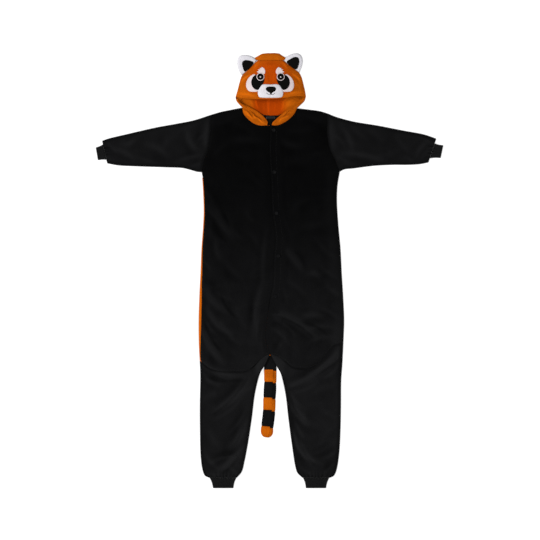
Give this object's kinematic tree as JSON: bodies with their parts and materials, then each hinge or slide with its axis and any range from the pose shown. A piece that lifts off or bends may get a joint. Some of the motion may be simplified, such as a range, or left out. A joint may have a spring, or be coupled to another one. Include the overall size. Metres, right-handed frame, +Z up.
{
  "type": "red panda onesie",
  "caption": "Adult hooded animal onesie laid flat face up: black fleece front, sleeves and legs, orange back and hood, panda face, ears, striped tail, rib cuffs.",
  "frame": {"origin": "centre of the bounding box on the surface that the garment lies on", "axes": "+Y from the ankle cuffs to the hood, +X towards the wearer's left sleeve, +Z up from the surface, towards the viewer"},
  "size_m": [1.4218, 1.7861, 0.0502],
  "materials": {
    "black_fleece": "soft plush fleece with a short nap and a faint sheen",
    "black_rib": "rib knit, matte",
    "orange_fleece": "soft plush fleece with a short nap",
    "white_fleece": "smooth short fleece, matte",
    "black_felt": "short-napped cloth, matte",
    "button_plastic": "semi-gloss"
  },
  "bodies": {
    "root": {"front_right": "black_fleece", "front_left": "black_fleece", "back": "orange_fleece", "leg_right": "black_fleece", "leg_left": "black_fleece", "sleeve_right": "black_fleece", "sleeve_left": "black_fleece", "cuff_wrist_right": "black_rib", "cuff_wrist_left": "black_rib", "cuff_ankle_right": "black_rib", "cuff_ankle_left": "black_rib", "hood_back_right": "orange_fleece", "hood_back_left": "orange_fleece", "hood_crown": "orange_fleece", "hood_band_right": "orange_fleece", "hood_band_left": "orange_fleece", "hood_face": "orange_fleece", "muzzle": "white_fleece", "nose": "black_felt", "eye_patch_right": "black_felt", "cheek_right": "white_fleece", "brow_right": "white_fleece", "eye_ring_right": "white_fleece", "iris_right": "black_felt", "glint_right": "white_fleece", "eye_patch_left": "black_felt", "cheek_left": "white_fleece", "brow_left": "white_fleece", "eye_ring_left": "white_fleece", "iris_left": "black_felt", "glint_left": "white_fleece", "ear_right": "white_fleece", "ear_lining_right": "black_felt", "ear_left": "white_fleece", "ear_lining_left": "black_felt", "neck_facing": "black_felt", "neck_label": "black_felt", "tail_root_orange": "orange_fleece", "tail_ring_black_1": "black_fleece", "tail_ring_orange_1": "orange_fleece", "tail_ring_black_2": "black_fleece", "tail_ring_orange_2": "orange_fleece", "tail_ring_black_3": "black_fleece", "tail_tip_orange": "orange_fleece", "button_1": "button_plastic", "button_2": "button_plastic", "button_3": "button_plastic", "button_4": "button_plastic", "button_5": "button_plastic"}
  },
  "joints": []
}
